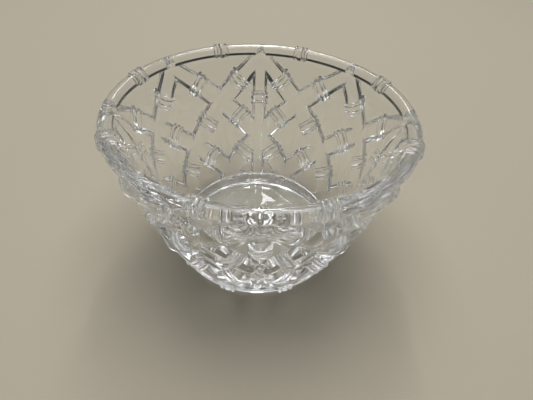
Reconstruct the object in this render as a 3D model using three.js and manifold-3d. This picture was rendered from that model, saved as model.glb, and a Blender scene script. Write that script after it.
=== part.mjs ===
// A heavy round bowl of clear pressed glass, smooth inside, with a bamboo trellis in relief outside.
// It is one casting: a thick base, a wall that thins upwards, a foot ring, a rim ring, sixteen slanting
// canes that cross each other, four upright canes, and collars at the joints of the bamboo.
// Millimetres, +Z up, origin on the table at the middle of the foot. Angles are in degrees round the bowl,
// from the back (+Y) towards the right (+X).

import * as THREE from 'three';
import { mergeVertices } from 'three/addons/utils/BufferGeometryUtils.js';
import Module from 'manifold-3d';

// Overall sizes.
const RIM_RADIUS = 102.3;
const RIM_CENTRE_HEIGHT = 118.2;
const FOOT_RADIUS = 59.2;
const FLOOR_RADIUS = 56;
const FLOOR_HEIGHT = 22;
const FLOOR_DISH = 0.5;

// The inside wall's belly: how far its two control points lie from the floor's edge and from the rim.
const LOW_BELLY_OUT = 24;
const LOW_BELLY_UP = 36;
const HIGH_BELLY_IN = 16.2;
const HIGH_BELLY_DOWN = 32.6;

// The glass of the wall between the canes: its thickness at the rim, what it gains at the base, and how fast.
const WALL_THICKNESS = 7.3;
const WALL_GAIN = 3.6;
const WALL_GAIN_POWER = 2.3;

// Where the inside wall's curve ends, in from the middle of the rim's section and down from it. Near its end
// the wall draws back from that curve, so that the rim ring stands proud of it on the inside too.
const WALL_TOP_IN = 6.24;
const WALL_TOP_DOWN = 1.2;
const NECK_START = 0.88;
const NECK_DEPTH = 2.6;

// Ring canes. The rim's section is a little taller than wide, and the inside wall meets it that many degrees
// above the middle.
const RIM_HALF_WIDTH = 5.1;
const RIM_HALF_HEIGHT = 4.9;
const FOOT_CANE_RADIUS = 6;
const FOOT_GRIND = 0.4;
const FOOT_RECESS_DEPTH = 2.5;
const FOOT_FLAT_HALF_WIDTH = 4;
const RECESS_DRAFT = 0.6;

// The trellis. A slanting cane turns steadily as it comes down from its apex, and bends a little as well.
// The apexes lie just under the middle of the rim ring.
const APEX_COUNT = 8;
const APEX_DROP = 6;
const APEX_HEIGHT = RIM_CENTRE_HEIGHT - APEX_DROP;
const SLANT_TURN = 75.1;
const SLANT_BEND = 6.4;
const UPRIGHT_COUNT = 4;
const CANE_END_INSET = 1;

// A cane's section: the radius of its round crest, and how far the crest stands out from the wall. Towards
// the apex the crest rises further, between two heights on the wall, and the slanting canes close in on the
// round knot where they meet.
const SLANT_CREST_RADIUS = 10.7;
const SLANT_RELIEF = 4.6;
const UPRIGHT_CREST_RADIUS = 6.5;
const UPRIGHT_RELIEF = 4.4;
const SWELL = 2.2;
const SWELL_START = 89;
const SWELL_END = 105;
const KNOT_RADIUS = 7.4;

// Collars: half their length, the slope at each end, and how far they stand proud. On a wall cane they sit
// where a slanting cane has turned that far from its apex: at the middle of each stretch between crossings,
// and, on an upright, level with the highest crossings.
const COLLAR_HALF_LENGTH = 5.6;
const COLLAR_SLOPE = 1.6;
const COLLAR_RISE = 1.4;
const SLANT_COLLAR_TURNS = [55.5, 33, 11];
const UPRIGHT_COLLAR_TURNS = [21.8];
const RING_COLLAR_ANGLES = [19.3, 64, 112.5, 160.5];

// How finely the round shapes are cut into flats.
const TURN_STEPS = 40;
const PROFILE_STEPS = 6;
const CANE_STEPS = 8;
const CANE_SIDES = 6;
const RING_SIDES = 8;
const KNOT_SIDES = 12;

// How close a plain section may come to a collar's middle, in collar half lengths.
const COLLAR_CLEARANCE = 1.3;

// A short way along the wall, as a share of its length, for finding directions on it.
const NUDGE = 0.005;

const glass = new THREE.MeshStandardMaterial({
  color: 0xe8eeee, roughness: 0.03, metalness: 0, transparent: true, opacity: 0.35
});

const wasm = await Module();
wasm.setup();

// Turns a closed three.js geometry into a solid that can be joined and cut.
function solid(geometry) {
  const bare = geometry.clone();
  bare.deleteAttribute('normal');
  bare.deleteAttribute('uv');
  const merged = mergeVertices(bare, 1e-4);
  const corners = merged.index.array;
  const faces = [];
  for (let i = 0; i < corners.length; i += 3) {
    const [a, b, c] = corners.slice(i, i + 3);
    if (a !== b && b !== c && c !== a) {
      faces.push(a, b, c);
    }
  }
  return new wasm.Manifold(new wasm.Mesh({
    numProp: 3,
    vertProperties: merged.attributes.position.array,
    triVerts: new Uint32Array(faces)
  }));
}

// Spins a profile of [radius, height] points about the bowl's axis. It runs anticlockwise, outside going up.
function turned(profile) {
  const points = profile.map(([radius, height]) => new THREE.Vector2(radius, height));
  return new THREE.LatheGeometry(points, TURN_STEPS).rotateX(Math.PI / 2);
}

// A point at an angle round the bowl.
function around(radius, angle, height) {
  const turn = THREE.MathUtils.degToRad(angle);
  return new THREE.Vector3(radius * Math.sin(turn), radius * Math.cos(turn), height);
}

const WALL_TOP_RADIUS = RIM_RADIUS - WALL_TOP_IN;
const WALL_TOP_HEIGHT = RIM_CENTRE_HEIGHT - WALL_TOP_DOWN;

// The inside wall's curve in the radius and height plane, from the floor's edge (0) to the rim (1).
const insideWall = new THREE.CubicBezierCurve(
  new THREE.Vector2(FLOOR_RADIUS, FLOOR_HEIGHT),
  new THREE.Vector2(FLOOR_RADIUS + LOW_BELLY_OUT, FLOOR_HEIGHT + LOW_BELLY_UP),
  new THREE.Vector2(WALL_TOP_RADIUS - HIGH_BELLY_IN, WALL_TOP_HEIGHT - HIGH_BELLY_DOWN),
  new THREE.Vector2(WALL_TOP_RADIUS, WALL_TOP_HEIGHT)
);

// A point that stands a height out from the wall's outside, at the same place along the wall. Below 0 the
// outside runs on in a straight line into the base, so that a cane's lower end is buried there.
function raised(place, height) {
  const start = Math.max(place, 0);
  const inner = insideWall.getPointAt(start);
  const along = insideWall.getTangentAt(start);
  const out = WALL_THICKNESS + WALL_GAIN * (1 - start) ** WALL_GAIN_POWER + height;
  const below = (start - place) * insideWall.getLength();
  return new THREE.Vector2(
    inner.x + along.y * out - along.x * below,
    inner.y - along.x * out - along.y * below
  );
}

// The wall's outside between the canes.
function outsideWall(place) {
  return raised(place, 0);
}

// Finds the place along the wall where its outside has a given height.
function placeAtHeight(height) {
  let low = -1;
  let high = 1;
  while (high - low > 1e-6) {
    const middle = (low + high) / 2;
    if (outsideWall(middle).y < height) {
      low = middle;
    } else {
      high = middle;
    }
  }
  return (low + high) / 2;
}

// How far round a slanting cane has come from its apex, at a height on the wall's outside.
function slantAt(height) {
  const drop = 1 - height / APEX_HEIGHT;
  return SLANT_TURN * drop + SLANT_BEND * drop * drop;
}

// The place along the wall where a slanting cane has turned that far.
function placeAtTurn(turn) {
  const root = Math.sqrt(SLANT_TURN ** 2 + 4 * SLANT_BEND * turn);
  const drop = (root - SLANT_TURN) / (2 * SLANT_BEND);
  return placeAtHeight(APEX_HEIGHT * (1 - drop));
}

// The radius of a cane's crest, and how far its middle line lies out from the wall. side is -1 or 1 for a
// cane that leaves its apex to the left or right going down, and 0 for an upright one.
function caneSection(side, place) {
  const rise = THREE.MathUtils.smoothstep(outsideWall(place).y, SWELL_START, SWELL_END);
  if (side === 0) {
    return { radius: UPRIGHT_CREST_RADIUS, out: UPRIGHT_RELIEF + SWELL * rise - UPRIGHT_CREST_RADIUS };
  }
  const radius = THREE.MathUtils.lerp(SLANT_CREST_RADIUS, KNOT_RADIUS, rise);
  return { radius, out: SLANT_RELIEF + SWELL * rise - radius };
}

// A point on a cane's middle line, at a place along the wall.
function canePoint(apexAngle, side, place) {
  const point = raised(place, caneSection(side, place).out);
  return around(point.x, apexAngle + side * slantAt(outsideWall(place).y), point.y);
}

// Places along a line, where its collars need their own sections: each is [place, rise]. Plain sections
// are spread evenly between, and left out where they would crowd a collar.
function sectionPlaces(start, end, steps, collars, halfLength, slope) {
  const places = [];
  for (let step = 0; step <= steps; step++) {
    const place = THREE.MathUtils.lerp(start, end, step / steps);
    if (collars.every((collar) => Math.abs(place - collar) > COLLAR_CLEARANCE * halfLength)) {
      places.push([place, 0]);
    }
  }
  for (const collar of collars) {
    places.push([collar - halfLength, 0], [collar - halfLength + slope, COLLAR_RISE]);
    places.push([collar + halfLength - slope, COLLAR_RISE], [collar + halfLength, 0]);
  }
  return places.sort((first, second) => first[0] - second[0]);
}

// A closed bar through a list of sections, each with its centre, two directions across it and its half
// width along each. across1 x across2 points along the bar. A looped bar's end meets its start.
function bar(sections, sides, looped) {
  const points = [];
  for (const { centre, across1, across2, half1, half2 } of sections) {
    for (let side = 0; side < sides; side++) {
      const turn = (side / sides) * 2 * Math.PI;
      const point = centre.clone();
      point.addScaledVector(across1, half1 * Math.cos(turn));
      point.addScaledVector(across2, half2 * Math.sin(turn));
      points.push(point);
    }
  }
  const faces = [];
  const spans = looped ? sections.length : sections.length - 1;
  for (let span = 0; span < spans; span++) {
    const here = span * sides;
    const next = ((span + 1) % sections.length) * sides;
    for (let side = 0; side < sides; side++) {
      const other = (side + 1) % sides;
      faces.push(here + side, here + other, next + other);
      faces.push(here + side, next + other, next + side);
    }
  }
  if (!looped) {
    const last = (sections.length - 1) * sides;
    for (let side = 1; side < sides - 1; side++) {
      faces.push(0, side + 1, side);
      faces.push(last, last + side, last + side + 1);
    }
  }
  return new THREE.BufferGeometry().setFromPoints(points).setIndex(faces);
}

// A cane on the wall's outside, from inside the base up into the rim ring, with its collars.
function wallCane(apexAngle, side, collarTurns) {
  const bottom = placeAtHeight(FOOT_CANE_RADIUS - CANE_END_INSET);
  const top = placeAtHeight(APEX_HEIGHT);
  const halfway = (bottom + top) / 2;
  const nudged = canePoint(apexAngle, side, halfway + NUDGE);
  const perMillimetre = NUDGE / nudged.distanceTo(canePoint(apexAngle, side, halfway));
  const places = sectionPlaces(
    bottom, top, CANE_STEPS, collarTurns.map(placeAtTurn),
    COLLAR_HALF_LENGTH * perMillimetre, COLLAR_SLOPE * perMillimetre
  );
  return bar(places.map(([place, rise]) => {
    const before = canePoint(apexAngle, side, place - NUDGE);
    const along = canePoint(apexAngle, side, place + NUDGE).sub(before).normalize();
    const wallAlong = outsideWall(place + NUDGE).sub(outsideWall(place - NUDGE)).normalize();
    const centre = canePoint(apexAngle, side, place);
    const round = THREE.MathUtils.radToDeg(Math.atan2(centre.x, centre.y));
    const outward = around(wallAlong.y, round, -wallAlong.x);
    const across = new THREE.Vector3().crossVectors(outward, along).normalize();
    const half = caneSection(side, place).radius + rise;
    return { centre, across1: outward, across2: across.negate(), half1: half, half2: half };
  }), CANE_SIDES, false);
}

// A ring cane round the bowl, with its collars.
function ringCane(radius, height, halfWidth, halfHeight) {
  const collars = RING_COLLAR_ANGLES.flatMap((angle) => [angle, 360 - angle]);
  const perMillimetre = THREE.MathUtils.radToDeg(1 / radius);
  const places = sectionPlaces(
    0, 360, TURN_STEPS, collars, COLLAR_HALF_LENGTH * perMillimetre, COLLAR_SLOPE * perMillimetre
  );
  return bar(places.slice(0, -1).map(([angle, rise]) => ({
    centre: around(radius, angle, height),
    across1: around(1, angle, 0),
    across2: new THREE.Vector3(0, 0, 1),
    half1: halfWidth + rise,
    half2: halfHeight + rise
  })), RING_SIDES, true);
}

// The wall and base as one full block of revolution, before the inside is taken out.
function bodyBlock() {
  const profile = [[0, 0], [FOOT_RADIUS, 0]];
  for (let step = 0; step <= PROFILE_STEPS; step++) {
    const wall = outsideWall(step / PROFILE_STEPS);
    profile.push([wall.x, wall.y]);
  }
  profile.push([outsideWall(1).x, RIM_CENTRE_HEIGHT], [0, RIM_CENTRE_HEIGHT]);
  return solid(turned(profile));
}

// Everything inside the bowl: an almost flat floor, the wall's belly, its neck under the rim, and a shaft up
// from there, which clears the knots' inner sides away before the rim ring covers them.
function insideBlock() {
  const profile = [[0, FLOOR_HEIGHT - FLOOR_DISH]];
  for (let step = 0; step <= PROFILE_STEPS; step++) {
    const wall = insideWall.getPointAt(NECK_START * step / PROFILE_STEPS);
    profile.push([wall.x, wall.y]);
  }
  const along = insideWall.getTangentAt(1);
  const neck = WALL_TOP_RADIUS + along.y * NECK_DEPTH;
  const clear = RIM_CENTRE_HEIGHT + 4 * RIM_HALF_HEIGHT;
  profile.push([neck, WALL_TOP_HEIGHT - along.x * NECK_DEPTH], [neck, clear], [0, clear]);
  return solid(turned(profile));
}

// Everything under the bowl: the ground flat of the foot and the shallow recess inside the foot ring.
function underBlock() {
  const recess = FOOT_RADIUS - FOOT_FLAT_HALF_WIDTH;
  const depth = 4 * FOOT_CANE_RADIUS;
  const reach = 2 * FOOT_RADIUS;
  return solid(turned([
    [0, -depth], [reach, -depth], [reach, 0], [recess, 0],
    [recess - RECESS_DRAFT, FOOT_RECESS_DEPTH], [0, FOOT_RECESS_DEPTH]
  ]));
}

// The round knot at an apex, where its two canes end.
function knot(apexAngle) {
  const centre = canePoint(apexAngle, 1, placeAtHeight(APEX_HEIGHT));
  return new THREE.SphereGeometry(KNOT_RADIUS, KNOT_SIDES, KNOT_SIDES / 2).rotateX(Math.PI / 2)
    .rotateZ(THREE.MathUtils.degToRad(-apexAngle)).translate(centre.x, centre.y, centre.z);
}

// The trellis: a left and a right cane and a knot at every apex, and the upright canes.
function trellis() {
  const pieces = [];
  for (let apex = 0; apex < APEX_COUNT; apex++) {
    const angle = (apex * 360) / APEX_COUNT;
    pieces.push(wallCane(angle, -1, SLANT_COLLAR_TURNS), wallCane(angle, 1, SLANT_COLLAR_TURNS), knot(angle));
  }
  for (let upright = 0; upright < UPRIGHT_COUNT; upright++) {
    pieces.push(wallCane((upright * 360) / UPRIGHT_COUNT, 0, UPRIGHT_COLLAR_TURNS));
  }
  return pieces.map(solid).reduce((joined, piece) => joined.add(piece));
}

// The whole casting.
function castBowl() {
  const outside = bodyBlock().add(trellis()).subtract(insideBlock());
  const foot = solid(
    ringCane(FOOT_RADIUS, FOOT_CANE_RADIUS - FOOT_GRIND, FOOT_CANE_RADIUS, FOOT_CANE_RADIUS)
  );
  const rim = solid(ringCane(RIM_RADIUS, RIM_CENTRE_HEIGHT, RIM_HALF_WIDTH, RIM_HALF_HEIGHT));
  return outside.add(foot).subtract(underBlock()).add(rim);
}

function geometryOf(cast) {
  const mesh = cast.getMesh();
  const geometry = new THREE.BufferGeometry();
  geometry.setAttribute('position', new THREE.BufferAttribute(new Float32Array(mesh.vertProperties), 3));
  geometry.setIndex(new THREE.BufferAttribute(new Uint32Array(mesh.triVerts), 1));
  const flat = geometry.toNonIndexed();
  flat.computeVertexNormals();
  return flat;
}

const bowl = new THREE.Mesh(geometryOf(castBowl()), glass);
bowl.name = 'glass_bowl';

const part = new THREE.Group();
part.name = 'bowl';
part.add(bowl);

export default part;
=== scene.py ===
"""A heavy round bowl of clear pressed glass with a bamboo trellis in relief, built inside its CAD frame."""

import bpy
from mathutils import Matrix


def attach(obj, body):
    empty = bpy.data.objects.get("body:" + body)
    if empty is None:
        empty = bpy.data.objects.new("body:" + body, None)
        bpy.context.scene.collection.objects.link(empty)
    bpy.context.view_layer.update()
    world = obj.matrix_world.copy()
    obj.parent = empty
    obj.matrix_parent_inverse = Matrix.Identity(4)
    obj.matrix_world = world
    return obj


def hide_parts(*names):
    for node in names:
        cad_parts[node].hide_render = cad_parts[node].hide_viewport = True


bl_info = {
    "name": "Trellis Glass Bowl",
    "version": (1, 0, 0),
    "blender": (4, 5, 0),
    "location": "View3D > Sidebar > Glass Bowl",
    "description": "Adds a pressed glass bowl with a bamboo trellis in relief, and a plain studio for it",
    "category": "Add Mesh",
}

import math

import bpy
from bpy.props import FloatProperty, FloatVectorProperty, IntProperty, PointerProperty
from mathutils import Matrix, Vector

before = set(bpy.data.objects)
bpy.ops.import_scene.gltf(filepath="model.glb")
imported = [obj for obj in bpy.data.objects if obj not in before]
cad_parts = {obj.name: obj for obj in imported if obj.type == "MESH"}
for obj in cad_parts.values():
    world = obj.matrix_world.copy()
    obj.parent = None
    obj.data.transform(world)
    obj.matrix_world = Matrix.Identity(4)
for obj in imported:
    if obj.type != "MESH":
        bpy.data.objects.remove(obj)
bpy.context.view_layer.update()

MM = 0.001

# Ring canes. The foot's is ground flat underneath.
RIM_RADIUS = 102.3 * MM
RIM_HEIGHT = 118.2 * MM
RIM_HALF_WIDTH = 5.1 * MM
RIM_HALF_HEIGHT = 4.9 * MM
FOOT_CANE_RADIUS = 6 * MM
FOOT_GRIND = 0.4 * MM
FOOT_RADIUS = 59.2 * MM
FOOT_FLAT_HALF_WIDTH = 4 * MM
RECESS_DEPTH = 2.5 * MM
RECESS_DRAFT = 0.6 * MM

# The bowl's floor, the length that its fillet takes from floor and wall, and how far the inside wall's two
# control points lie from its ends.
FLOOR_RADIUS = 56 * MM
FLOOR_HEIGHT = 22 * MM
FLOOR_DISH = 0.5 * MM
FLOOR_FILLET = 2 * MM
LOW_BELLY = Vector((24 * MM, 36 * MM))
HIGH_BELLY = Vector((16.2 * MM, 32.6 * MM))

# The wall between the canes: its thickness at the rim, what it gains at the base, and how fast.
WALL_THICKNESS = 7.3 * MM
WALL_GAIN = 3.6 * MM
WALL_GAIN_POWER = 2.3

# Where the inside wall's curve ends, in from the middle of the rim's section and down from it. Near its end
# the wall draws back from that curve, so that the rim ring stands proud of it on the inside too.
WALL_TOP_IN = 6.24 * MM
WALL_TOP_DOWN = 1.2 * MM
NECK_START = 0.88
NECK_DEPTH = 2.6 * MM

# The trellis, in degrees round the bowl from the back towards the right.
APEX_COUNT = 8
APEX_DROP = 6 * MM
SLANT_TURN = 75.1
SLANT_BEND = 6.4
UPRIGHT_COUNT = 4
CANE_END_INSET = 1 * MM

# A cane's crest stands this far out from the wall. Towards its apex it rises further, between two heights on
# the wall, and the slanting canes close in on the round knot where they meet.
SLANT_RELIEF = 4.6 * MM
UPRIGHT_RELIEF = 4.4 * MM
SWELL = 2.2 * MM
SWELL_START = 89 * MM
SWELL_END = 105 * MM
KNOT_RADIUS = 7.4 * MM
KNOT_SIDES = 40

# Where the collars sit: how far a slanting cane has turned from its apex there, or the angle round a ring.
SLANT_COLLAR_TURNS = (55.5, 33, 11)
UPRIGHT_COLLAR_TURNS = (21.8,)
RING_COLLAR_ANGLES = (19.3, 64, 112.5, 160.5)

# A collar's three rings: where each one's middle lies along the cane, and half its width.
COLLAR_RINGS = ((-4.15 * MM, 1.45 * MM), (0, 2.5 * MM), (4.15 * MM, 1.45 * MM))
COLLAR_RISE = 1.4 * MM
COLLAR_SINK = 0.5 * MM

# How finely shapes are cut.
TURN_STEPS = 240
WALL_STEPS = 48
FLOOR_STEPS = 8
CANE_SECTIONS = 72
CANE_SIDES = 32
RING_SIDES = 36
COLLAR_SIDES = 36
COLLAR_STEPS = 8
WALL_TABLE = 600
SMOOTH_ANGLE = math.radians(30)

# Points closer than the first are one point. An edge shorter than the second is dissolved at the end.
WELD = 0.001 * MM
SLIVER = 0.002 * MM

# How close a search for a place on the wall comes, and the step that a cane's direction is taken over. Both
# are shares of the wall's length.
SHARE_ERROR = 1e-7
SHARE_STEP = 0.002


def linear(colour):
    """Turns an sRGB hex colour into linear red, green and blue."""
    parts = [int(colour[i:i + 2], 16) / 255 for i in (1, 3, 5)]
    return [p / 12.92 if p <= 0.04045 else ((p + 0.055) / 1.055) ** 2.4 for p in parts]


GLASS_TINT = linear("#fdfefe")
FLOOR_COLOUR = linear("#bfb6a2")

# The room's light from its bright side and its dark side, and the plain backdrop, which only the camera sees.
BRIGHT_ROOM = linear("#ccd0d6")
DARK_ROOM = linear("#29292b")
BACKDROP = linear("#aea797")


class BowlSizes(bpy.types.PropertyGroup):
    """The sizes of the bowl."""

    rim_radius: FloatProperty(
        name="Rim Radius", description="From the axis to the middle of the rim ring",
        default=RIM_RADIUS, min=0.05, max=0.3, precision=4, unit="LENGTH",
    )
    rim_height: FloatProperty(
        name="Rim Height", description="From the table to the middle of the rim ring",
        default=RIM_HEIGHT, min=0.05, max=0.3, precision=4, unit="LENGTH",
    )
    slant_cane_radius: FloatProperty(
        name="Slanting Cane Radius", description="Of a slanting cane's round crest",
        default=10.7 * MM, min=0.002, max=0.02, precision=4, unit="LENGTH",
    )
    upright_cane_radius: FloatProperty(
        name="Upright Cane Radius", description="Of an upright cane's round crest",
        default=6.5 * MM, min=0.002, max=0.02, precision=4, unit="LENGTH",
    )


class GlassLook(bpy.types.PropertyGroup):
    """The finish of the glass."""

    tint: FloatVectorProperty(
        name="Tint", description="Colour of the clear glass", default=GLASS_TINT,
        min=0, max=1, size=3, subtype="COLOR",
    )
    ior: FloatProperty(
        name="Index of Refraction", description="Of pressed soda-lime glass", default=1.52, min=1.4, max=1.7,
    )
    wave_size: FloatProperty(
        name="Wave Size", description="Width of the faint waves that pressing leaves in the surface",
        default=16 * MM, min=0.002, max=0.1, precision=4, unit="LENGTH",
    )
    wave_depth: FloatProperty(
        name="Wave Depth", description="Depth of those waves",
        default=0.02 * MM, min=0, max=0.001, precision=6, unit="LENGTH",
    )


class StageLook(bpy.types.PropertyGroup):
    """The floor and the light."""

    floor_colour: FloatVectorProperty(
        name="Floor Colour", description="Colour of the plain floor", default=FLOOR_COLOUR,
        min=0, max=1, size=3, subtype="COLOR",
    )
    sky_power: FloatProperty(
        name="Sky Power", description="Power of the broad soft light behind and above the bowl",
        default=25, min=0, max=500, unit="POWER",
    )
    window_power: FloatProperty(
        name="Window Power", description="Power of the narrow light that gives the crisp highlights",
        default=3.5, min=0, max=500, unit="POWER",
    )
    pane_power: FloatProperty(
        name="Pane Power", description="Power of the low light that is mirrored in the bowl's floor",
        default=2, min=0, max=500, unit="POWER",
    )
    bounces: IntProperty(
        name="Glass Bounces", description="How often light may pass through a glass surface",
        default=24, min=4, max=64,
    )


def deselect():
    """Leaves edit mode and deselects everything."""
    if bpy.context.object and bpy.context.object.mode != "OBJECT":
        bpy.ops.object.mode_set(mode="OBJECT")
    bpy.ops.object.select_all(action="DESELECT")


def pick(piece):
    """Selects one object and makes it the active one."""
    deselect()
    piece.select_set(True)
    bpy.context.view_layer.objects.active = piece


def path(name, points):
    """Adds a curve that runs straight from point to point."""
    deselect()
    bpy.ops.curve.primitive_nurbs_path_add()
    curve = bpy.context.object
    curve.name = name
    curve.data.splines.clear()
    spline = curve.data.splines.new("POLY")
    spline.points.add(len(points) - 1)
    for place, point in zip(spline.points, points):
        place.co = (*point, 1)
    return curve


def edit_all(piece):
    """Selects all of a piece's mesh in edit mode."""
    pick(piece)
    bpy.ops.object.mode_set(mode="EDIT")
    bpy.ops.mesh.select_all(action="SELECT")


def meshed(curve):
    """Turns a curve into a mesh."""
    pick(curve)
    bpy.ops.object.convert(target="MESH")
    return bpy.context.object


def closed(piece):
    """Merges a mesh's doubles and turns its faces outwards."""
    edit_all(piece)
    bpy.ops.mesh.remove_doubles(threshold=WELD)
    bpy.ops.mesh.normals_make_consistent(inside=False)
    bpy.ops.object.mode_set(mode="OBJECT")
    return piece


def spun(name, profile, steps):
    """A solid of revolution about Z from a profile of (radius, height), which starts and ends on the axis."""
    piece = meshed(path(name, [(radius, 0, height) for radius, height in profile]))
    edit_all(piece)
    bpy.ops.mesh.spin(steps=steps, angle=math.tau, center=(0, 0, 0), axis=(0, 0, 1))
    bpy.ops.object.mode_set(mode="OBJECT")
    return closed(piece)


def placed(piece, matrix):
    """A copy of a piece, with its own mesh, moved by a matrix."""
    copy = piece.copy()
    copy.data = piece.data.copy()
    copy.data.transform(matrix)
    bpy.context.scene.collection.objects.link(copy)
    return copy


def open_edges(mesh):
    """How many edges of a mesh don't have exactly two faces."""
    counts = {}
    for face in mesh.polygons:
        for edge in face.edge_keys:
            counts[edge] = counts.get(edge, 0) + 1
    return sum(1 for count in counts.values() if count != 2)


def combine(base, operation, tools):
    """Joins solids to the base or cuts them from it, and removes them."""
    group = bpy.data.collections.new("tools")
    bpy.context.scene.collection.children.link(group)
    for tool in tools:
        group.objects.link(tool)
    before = len(base.data.polygons)
    pick(base)
    boolean = base.modifiers.new("combine", "BOOLEAN")
    boolean.operation = operation
    boolean.solver = "MANIFOLD"
    boolean.operand_type = "COLLECTION"
    boolean.collection = group
    bpy.ops.object.modifier_apply(modifier=boolean.name)
    for tool in tools:
        bpy.data.objects.remove(tool)
    bpy.data.collections.remove(group)
    if len(base.data.polygons) == before or open_edges(base.data):
        raise RuntimeError(f"{base.name}: the solids didn't combine")


def around(radius, angle, height):
    """A point at an angle round the bowl."""
    turn = math.radians(angle)
    return Vector((radius * math.sin(turn), radius * math.cos(turn), height))


class Wall:
    """The wall's section: its inside curve from the floor's edge (0) to the rim (1), by length, and its
    outside at the wall's thickness."""

    def __init__(self, sizes):
        self.sizes = sizes
        start = Vector((FLOOR_RADIUS, FLOOR_HEIGHT))
        end = Vector((sizes.rim_radius - WALL_TOP_IN, sizes.rim_height - WALL_TOP_DOWN))
        ends = (start, start + LOW_BELLY, end - HIGH_BELLY, end)
        self.points = []
        self.ways = []
        for step in range(WALL_TABLE + 1):
            t = step / WALL_TABLE
            s = 1 - t
            self.points.append(
                ends[0] * s ** 3 + ends[1] * 3 * s * s * t + ends[2] * 3 * s * t * t + ends[3] * t ** 3
            )
            way = (ends[1] - ends[0]) * s * s + (ends[2] - ends[1]) * 2 * s * t + (ends[3] - ends[2]) * t * t
            self.ways.append(way.normalized())
        self.lengths = [0.0]
        for first, second in zip(self.points, self.points[1:]):
            self.lengths.append(self.lengths[-1] + (second - first).length)
        self.length = self.lengths[-1]

    def inside(self, share):
        """The point and the direction upwards at a share of the wall's length."""
        target = share * self.length
        low, high = 0, WALL_TABLE
        while high - low > 1:
            middle = (low + high) // 2
            if self.lengths[middle] <= target:
                low = middle
            else:
                high = middle
        part = (target - self.lengths[low]) / (self.lengths[high] - self.lengths[low])
        way = self.ways[low].lerp(self.ways[high], part).normalized()
        return self.points[low].lerp(self.points[high], part), way

    def necked(self, share):
        """The inside's point, which draws back from the curve under the rim."""
        point, way = self.inside(share)
        rise = max(share - NECK_START, 0) / (1 - NECK_START)
        return point + Vector((way.y, -way.x)) * NECK_DEPTH * rise * rise

    def raised(self, share, height):
        """A point that stands a height out from the outside. Below 0 the outside runs straight on into the
        base."""
        start = max(share, 0)
        point, way = self.inside(start)
        thickness = WALL_THICKNESS + WALL_GAIN * (1 - start) ** WALL_GAIN_POWER
        below = (start - share) * self.length
        return point + Vector((way.y, -way.x)) * (thickness + height) - way * below

    def outside(self, share):
        """A point on the outside of the wall between the canes."""
        return self.raised(share, 0)

    def share_at_height(self, height):
        """The share where the outside has a given height."""
        low, high = -1.0, 1.0
        while high - low > SHARE_ERROR:
            middle = (low + high) / 2
            if self.outside(middle).y < height:
                low = middle
            else:
                high = middle
        return (low + high) / 2

    def apex_height(self):
        """The height on the wall's outside where an apex's canes end."""
        return self.sizes.rim_height - APEX_DROP

    def slant(self, height):
        """How far round a slanting cane has come from its apex, at a height on the outside."""
        drop = 1 - height / self.apex_height()
        return SLANT_TURN * drop + SLANT_BEND * drop * drop

    def share_at_turn(self, turn):
        """The share where a slanting cane has turned that far."""
        drop = (math.sqrt(SLANT_TURN ** 2 + 4 * SLANT_BEND * turn) - SLANT_TURN) / (2 * SLANT_BEND)
        return self.share_at_height(self.apex_height() * (1 - drop))

    def cane_section(self, side, share):
        """The radius of a cane's round crest, and how far its middle line lies out from the wall."""
        rise = (self.outside(share).y - SWELL_START) / (SWELL_END - SWELL_START)
        rise = min(max(rise, 0), 1)
        rise = rise * rise * (3 - 2 * rise)
        if side:
            radius = self.sizes.slant_cane_radius * (1 - rise) + KNOT_RADIUS * rise
            return radius, SLANT_RELIEF + SWELL * rise - radius
        radius = self.sizes.upright_cane_radius
        return radius, UPRIGHT_RELIEF + SWELL * rise - radius

    def cane_point(self, apex, side, share):
        """A point on a cane's middle line. side is -1 or 1 for a slanting cane and 0 for an upright one."""
        point = self.raised(share, self.cane_section(side, share)[1])
        return around(point.x, apex + side * self.slant(self.outside(share).y), point.y)

    def cane_frame(self, apex, side, share):
        """A matrix that stands a collar on a cane, its Z along the cane."""
        ahead = self.cane_point(apex, side, share + SHARE_STEP)
        along = ahead - self.cane_point(apex, side, share - SHARE_STEP)
        turn = along.to_track_quat("Z", "Y").to_matrix().to_4x4()
        return Matrix.Translation(self.cane_point(apex, side, share)) @ turn


def cane(wall, side):
    """One cane of the trellis, from inside the base up to its apex at the back of the bowl."""
    bottom = wall.share_at_height(FOOT_CANE_RADIUS - CANE_END_INSET)
    top = wall.share_at_height(wall.apex_height())
    shares = [bottom + (top - bottom) * step / (CANE_SECTIONS - 1) for step in range(CANE_SECTIONS)]
    curve = path("cane", [wall.cane_point(0, side, share) for share in shares])
    curve.data.dimensions = "3D"
    curve.data.bevel_depth = MM
    curve.data.bevel_resolution = CANE_SIDES // 2 - 2
    curve.data.use_fill_caps = True
    for place, share in zip(curve.data.splines[0].points, shares):
        place.radius = wall.cane_section(side, share)[0] / MM
    return closed(meshed(curve))


def collar(radius):
    """Three turned rings about Z, to go round a cane of that radius."""
    core = radius - COLLAR_SINK
    profile = [(0, COLLAR_RINGS[0][0] - COLLAR_RINGS[0][1])]
    for middle, half_width in COLLAR_RINGS:
        for step in range(COLLAR_STEPS + 1):
            turn = math.pi * step / COLLAR_STEPS
            profile.append((
                core + (COLLAR_RISE + COLLAR_SINK) * math.sin(turn),
                middle - half_width * math.cos(turn),
            ))
    profile.append((0, COLLAR_RINGS[-1][0] + COLLAR_RINGS[-1][1]))
    return spun("collar", profile, COLLAR_SIDES)


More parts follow.
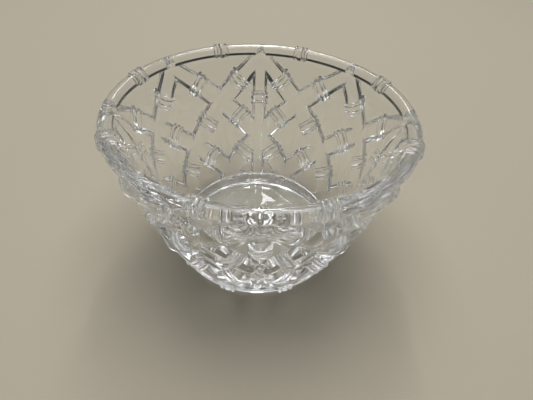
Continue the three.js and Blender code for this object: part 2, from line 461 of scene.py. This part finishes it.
def ring(radius, height, half_width, half_height):
    """A ring cane with its collars, as a list of solids."""
    deselect()
    bpy.ops.mesh.primitive_torus_add(
        major_radius=radius, minor_radius=half_width, major_segments=TURN_STEPS, minor_segments=RING_SIDES,
    )
    tube = bpy.context.object
    squeeze = half_height / half_width
    tube.data.transform(Matrix.Translation((0, 0, height)) @ Matrix.Diagonal((1, 1, squeeze, 1)))
    model = collar(half_width)
    stretch = (half_height + COLLAR_RISE) / (half_width + COLLAR_RISE)
    solids = [tube]
    for angle in RING_COLLAR_ANGLES:
        for turned in (angle, -angle):
            along = around(1, turned + 90, 0)
            stand = along.to_track_quat("Z", "Y").to_matrix().to_4x4()
            spot = Matrix.Translation(around(radius, turned, height)) @ Matrix.Diagonal((1, 1, stretch, 1))
            solids.append(placed(model, spot @ stand))
    bpy.data.objects.remove(model)
    return solids


def body_block(wall):
    """The wall and base as one full block, before the inside is taken out."""
    profile = [(0, 0), (FOOT_RADIUS, 0)]
    profile += [tuple(wall.outside(step / WALL_STEPS)) for step in range(WALL_STEPS + 1)]
    profile += [(wall.outside(1).x, wall.sizes.rim_height), (0, wall.sizes.rim_height)]
    return spun("glass_bowl_cast", profile, TURN_STEPS)


def inside_block(wall):
    """Everything inside the bowl: an almost flat floor, a fillet, the belly, its neck under the rim, and a
    shaft up from there, which clears the knots' inner sides away before the rim ring covers them."""
    profile = []
    corner = Vector((FLOOR_RADIUS, FLOOR_HEIGHT))
    flat = FLOOR_RADIUS - FLOOR_FILLET
    for step in range(FLOOR_STEPS):
        share = step / FLOOR_STEPS
        profile.append((flat * share, FLOOR_HEIGHT - FLOOR_DISH * (1 - share * share)))
    start = FLOOR_FILLET / wall.length
    first, last = Vector((flat, FLOOR_HEIGHT)), wall.inside(start)[0]
    for step in range(FLOOR_STEPS):
        t = step / FLOOR_STEPS
        profile.append(tuple(first * (1 - t) ** 2 + corner * 2 * t * (1 - t) + last * t * t))
    for step in range(WALL_STEPS + 1):
        profile.append(tuple(wall.necked(start + (1 - start) * step / WALL_STEPS)))
    clear = wall.sizes.rim_height + 4 * RIM_HALF_HEIGHT
    profile += [(profile[-1][0], clear), (0, clear)]
    return spun("inside", profile, TURN_STEPS)


def under_block():
    """Everything under the bowl: the ground flat of the foot, and the recess inside the foot ring."""
    recess = FOOT_RADIUS - FOOT_FLAT_HALF_WIDTH
    depth = 4 * FOOT_CANE_RADIUS
    reach = 2 * FOOT_RADIUS
    return spun("under", [
        (0, -depth), (reach, -depth), (reach, 0), (recess, 0), (recess - RECESS_DRAFT, RECESS_DEPTH),
        (0, RECESS_DEPTH),
    ], TURN_STEPS)


def repeated(model, count):
    """A model and its copies, evenly spaced round the bowl."""
    turns = [Matrix.Rotation(math.tau * number / count, 4, "Z") for number in range(1, count)]
    return [model] + [placed(model, turn) for turn in turns]


def trellis(wall):
    """All the wall's canes, their collars, and the knots at the apexes, as a list of solids."""
    solids = []
    for count, side, turns in (
        (APEX_COUNT, -1, SLANT_COLLAR_TURNS), (APEX_COUNT, 1, SLANT_COLLAR_TURNS),
        (UPRIGHT_COUNT, 0, UPRIGHT_COLLAR_TURNS),
    ):
        solids += repeated(cane(wall, side), count)
        for turn in turns:
            share = wall.share_at_turn(turn)
            model = collar(wall.cane_section(side, share)[0])
            model.data.transform(wall.cane_frame(0, side, share))
            solids += repeated(model, count)
    top = wall.share_at_height(wall.apex_height())
    deselect()
    bpy.ops.mesh.primitive_uv_sphere_add(
        segments=KNOT_SIDES, ring_count=KNOT_SIDES // 2, radius=wall.cane_section(1, top)[0],
    )
    knot = bpy.context.object
    knot.data.transform(Matrix.Translation(wall.cane_point(0, 1, top)))
    return solids + repeated(knot, APEX_COUNT)


def add_node(tree, kind, inputs=None, **settings):
    """Adds a node with its settings. An input is a value, or another node's output to link."""
    node = tree.nodes.new(kind)
    for name, value in settings.items():
        setattr(node, name, value)
    for name, value in (inputs or {}).items():
        if isinstance(value, bpy.types.NodeSocket):
            tree.links.new(value, node.inputs[name])
        else:
            node.inputs[name].default_value = value
    return node


def new_material(name):
    """A material with an empty node tree, and its output node."""
    material = bpy.data.materials.new(name)
    material.use_nodes = True
    material.node_tree.nodes.clear()
    return material, material.node_tree, add_node(material.node_tree, "ShaderNodeOutputMaterial")


def pressed_glass(look):
    """Clear pressed soda-lime glass, fire polished: it is bright and colourless, and the mould leaves very
    faint, slow waves in its skin that bend what is seen through it."""
    material, tree, output = new_material("clear_pressed_glass")
    place = add_node(tree, "ShaderNodeTexCoord").outputs["Object"]
    waves = add_node(tree, "ShaderNodeTexNoise", {
        "Vector": place, "Scale": 1 / look.wave_size, "Detail": 1.0, "Roughness": 0.4,
    })
    skin = add_node(tree, "ShaderNodeBump", {
        "Height": waves.outputs["Fac"], "Strength": 1.0, "Distance": look.wave_depth,
    })
    glass = add_node(tree, "ShaderNodeBsdfPrincipled", {
        "Base Color": (*look.tint, 1), "Roughness": 0.0, "IOR": look.ior,
        "Transmission Weight": 1.0, "Normal": skin.outputs["Normal"],
    })
    tree.links.new(glass.outputs["BSDF"], output.inputs["Surface"])
    return material


def matt_floor(look):
    """A plain matt studio floor."""
    material, tree, output = new_material("matt_floor")
    paint = add_node(tree, "ShaderNodeBsdfPrincipled", {
        "Base Color": (*look.floor_colour, 1), "Roughness": 0.9, "Specular IOR Level": 0.2,
    })
    tree.links.new(paint.outputs["BSDF"], output.inputs["Surface"])
    return material


class BOWL_OT_cast(bpy.types.Operator):
    """Add the pressed glass bowl with its bamboo trellis"""

    bl_idname = "bowl.cast"
    bl_label = "Cast the Bowl"
    bl_options = {"REGISTER", "UNDO"}

    def execute(self, context):
        sizes = context.scene.bowl_sizes
        wall = Wall(sizes)
        foot_height = FOOT_CANE_RADIUS - FOOT_GRIND
        bowl = body_block(wall)
        combine(bowl, "UNION", trellis(wall))
        combine(bowl, "DIFFERENCE", [inside_block(wall)])
        combine(bowl, "UNION", ring(FOOT_RADIUS, foot_height, FOOT_CANE_RADIUS, FOOT_CANE_RADIUS))
        combine(bowl, "DIFFERENCE", [under_block()])
        combine(bowl, "UNION", ring(sizes.rim_radius, sizes.rim_height, RIM_HALF_WIDTH, RIM_HALF_HEIGHT))
        edit_all(bowl)
        bpy.ops.mesh.quads_convert_to_tris(quad_method="BEAUTY", ngon_method="CLIP")
        bpy.ops.mesh.dissolve_degenerate(threshold=SLIVER)
        bpy.ops.object.mode_set(mode="OBJECT")
        bpy.ops.object.shade_smooth_by_angle(angle=SMOOTH_ANGLE)
        bowl.data.materials.clear()
        bowl.data.materials.append(pressed_glass(context.scene.glass_look))
        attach(bowl, "root")
        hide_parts("glass_bowl")
        return {"FINISHED"}


CAMERA_PLACE = Vector((-7.85, -262.97, 273.1)) * MM
CAMERA_LENS = 29.72
CAMERA_SENSOR = 36
CAMERA_NEAR = 10 * MM
CAMERA_HEADING = -3.21
CAMERA_TILT = 48.28
CAMERA_ROLL = 3.54

# The floor is a disc this far out, and just clear of the foot.
FLOOR_REACH = 3.0
FLOOR_SIDES = 96
FLOOR_GAP = 0.1 * MM

# Each lamp: its name, distance, angle round from the back, rise, width, height, and the setting of its power.
LAMPS = (
    ("sky", 2.1, 0, 81, 1.7, 1.5, "sky_power"),
    ("window", 2.0, 2.6, 58.5, 0.07, 0.6, "window_power"),
    ("pane", 2.0, 3.6, 42.5, 0.14, 0.38, "pane_power"),
)

# The room's light changes along this direction, from dark in front of the bowl to bright behind and above.
ROOM_WAY = (0, 0.35, 1)
ROOM_SPAN = (0.6, 1.0)

# Light that has been through the glass may be this bright in one sample before it is cut down.
BRIGHTEST_SPARK = 60


class BOWL_OT_stage(bpy.types.Operator):
    """Add the camera, a plain floor and soft studio light"""

    bl_idname = "bowl.stage"
    bl_label = "Set the Stage"
    bl_options = {"REGISTER", "UNDO"}

    def execute(self, context):
        look = context.scene.stage_look
        deselect()
        turn = (
            Matrix.Rotation(math.radians(CAMERA_HEADING), 4, "Z")
            @ Matrix.Rotation(math.radians(CAMERA_TILT), 4, "X")
            @ Matrix.Rotation(math.radians(CAMERA_ROLL), 4, "Z")
        )
        bpy.ops.object.camera_add(location=CAMERA_PLACE, rotation=turn.to_euler())
        camera = context.object
        camera.data.lens = CAMERA_LENS
        camera.data.sensor_width = CAMERA_SENSOR
        camera.data.clip_start = CAMERA_NEAR
        context.scene.camera = camera

        deselect()
        bpy.ops.mesh.primitive_circle_add(
            vertices=FLOOR_SIDES, radius=FLOOR_REACH, fill_type="NGON", location=(0, 0, -FLOOR_GAP),
        )
        floor = context.object
        floor.name = "floor"
        floor.data.materials.append(matt_floor(look))

        for name, distance, angle, rise, width, height, power in LAMPS:
            aim = around(math.cos(math.radians(rise)), angle, math.sin(math.radians(rise)))
            deselect()
            bpy.ops.object.light_add(
                type="AREA", location=aim * distance, rotation=aim.to_track_quat("Z", "Y").to_euler(),
            )
            lamp = context.object
            lamp.name = name
            lamp.data.shape = "RECTANGLE"
            lamp.data.size = width
            lamp.data.size_y = height
            lamp.data.energy = getattr(look, power)

        world = bpy.data.worlds.new("studio")
        context.scene.world = world
        world.use_nodes = True
        tree = world.node_tree
        tree.nodes.clear()
        direction = add_node(tree, "ShaderNodeTexCoord").outputs["Generated"]
        along = add_node(tree, "ShaderNodeVectorMath", operation="DOT_PRODUCT")
        tree.links.new(direction, along.inputs[0])
        along.inputs[1].default_value = ROOM_WAY
        share = add_node(tree, "ShaderNodeMapRange", {
            "Value": along.outputs["Value"], "From Min": ROOM_SPAN[0], "From Max": ROOM_SPAN[1],
        }, interpolation_type="SMOOTHSTEP")
        shade = add_node(tree, "ShaderNodeMix", {"Factor": share.outputs["Result"]}, data_type="RGBA")
        shade.inputs["A"].default_value = (*DARK_ROOM, 1)
        shade.inputs["B"].default_value = (*BRIGHT_ROOM, 1)
        seen = add_node(tree, "ShaderNodeLightPath").outputs["Is Camera Ray"]
        view = add_node(tree, "ShaderNodeMix", {"Factor": seen}, data_type="RGBA")
        tree.links.new(shade.outputs["Result"], view.inputs["A"])
        view.inputs["B"].default_value = (*BACKDROP, 1)
        light = add_node(tree, "ShaderNodeBackground", {"Color": view.outputs["Result"], "Strength": 1.0})
        add_node(tree, "ShaderNodeOutputWorld", {"Surface": light.outputs["Background"]})

        context.scene.view_settings.view_transform = "Standard"
        context.scene.cycles.max_bounces = look.bounces
        context.scene.cycles.transmission_bounces = look.bounces
        context.scene.cycles.glossy_bounces = look.bounces
        context.scene.cycles.sample_clamp_indirect = BRIGHTEST_SPARK
        return {"FINISHED"}


class BOWL_PT_panel(bpy.types.Panel):
    """The bowl's settings and its two steps"""

    bl_idname = "BOWL_PT_panel"
    bl_label = "Glass Bowl"
    bl_space_type = "VIEW_3D"
    bl_region_type = "UI"
    bl_category = "Glass Bowl"

    def draw(self, context):
        for step, group in (("bowl.stage", "stage_look"), ("bowl.cast", "bowl_sizes"), (None, "glass_look")):
            box = self.layout.box()
            settings = getattr(context.scene, group)
            for name in settings.__annotations__:
                box.prop(settings, name)
            if step:
                box.operator(step)


GROUPS = (("bowl_sizes", BowlSizes), ("glass_look", GlassLook), ("stage_look", StageLook))
TOOLS = (BOWL_OT_cast, BOWL_OT_stage, BOWL_PT_panel)


def register():
    for name, group in GROUPS:
        bpy.utils.register_class(group)
        setattr(bpy.types.Scene, name, PointerProperty(type=group))
    for tool in TOOLS:
        bpy.utils.register_class(tool)


def unregister():
    for tool in reversed(TOOLS):
        bpy.utils.unregister_class(tool)
    for name, group in reversed(GROUPS):
        delattr(bpy.types.Scene, name)
        bpy.utils.unregister_class(group)


def main():
    """Builds the stage and the bowl."""
    register()
    bpy.ops.bowl.stage()
    bpy.ops.bowl.cast()


if __name__ == "__main__":
    main()
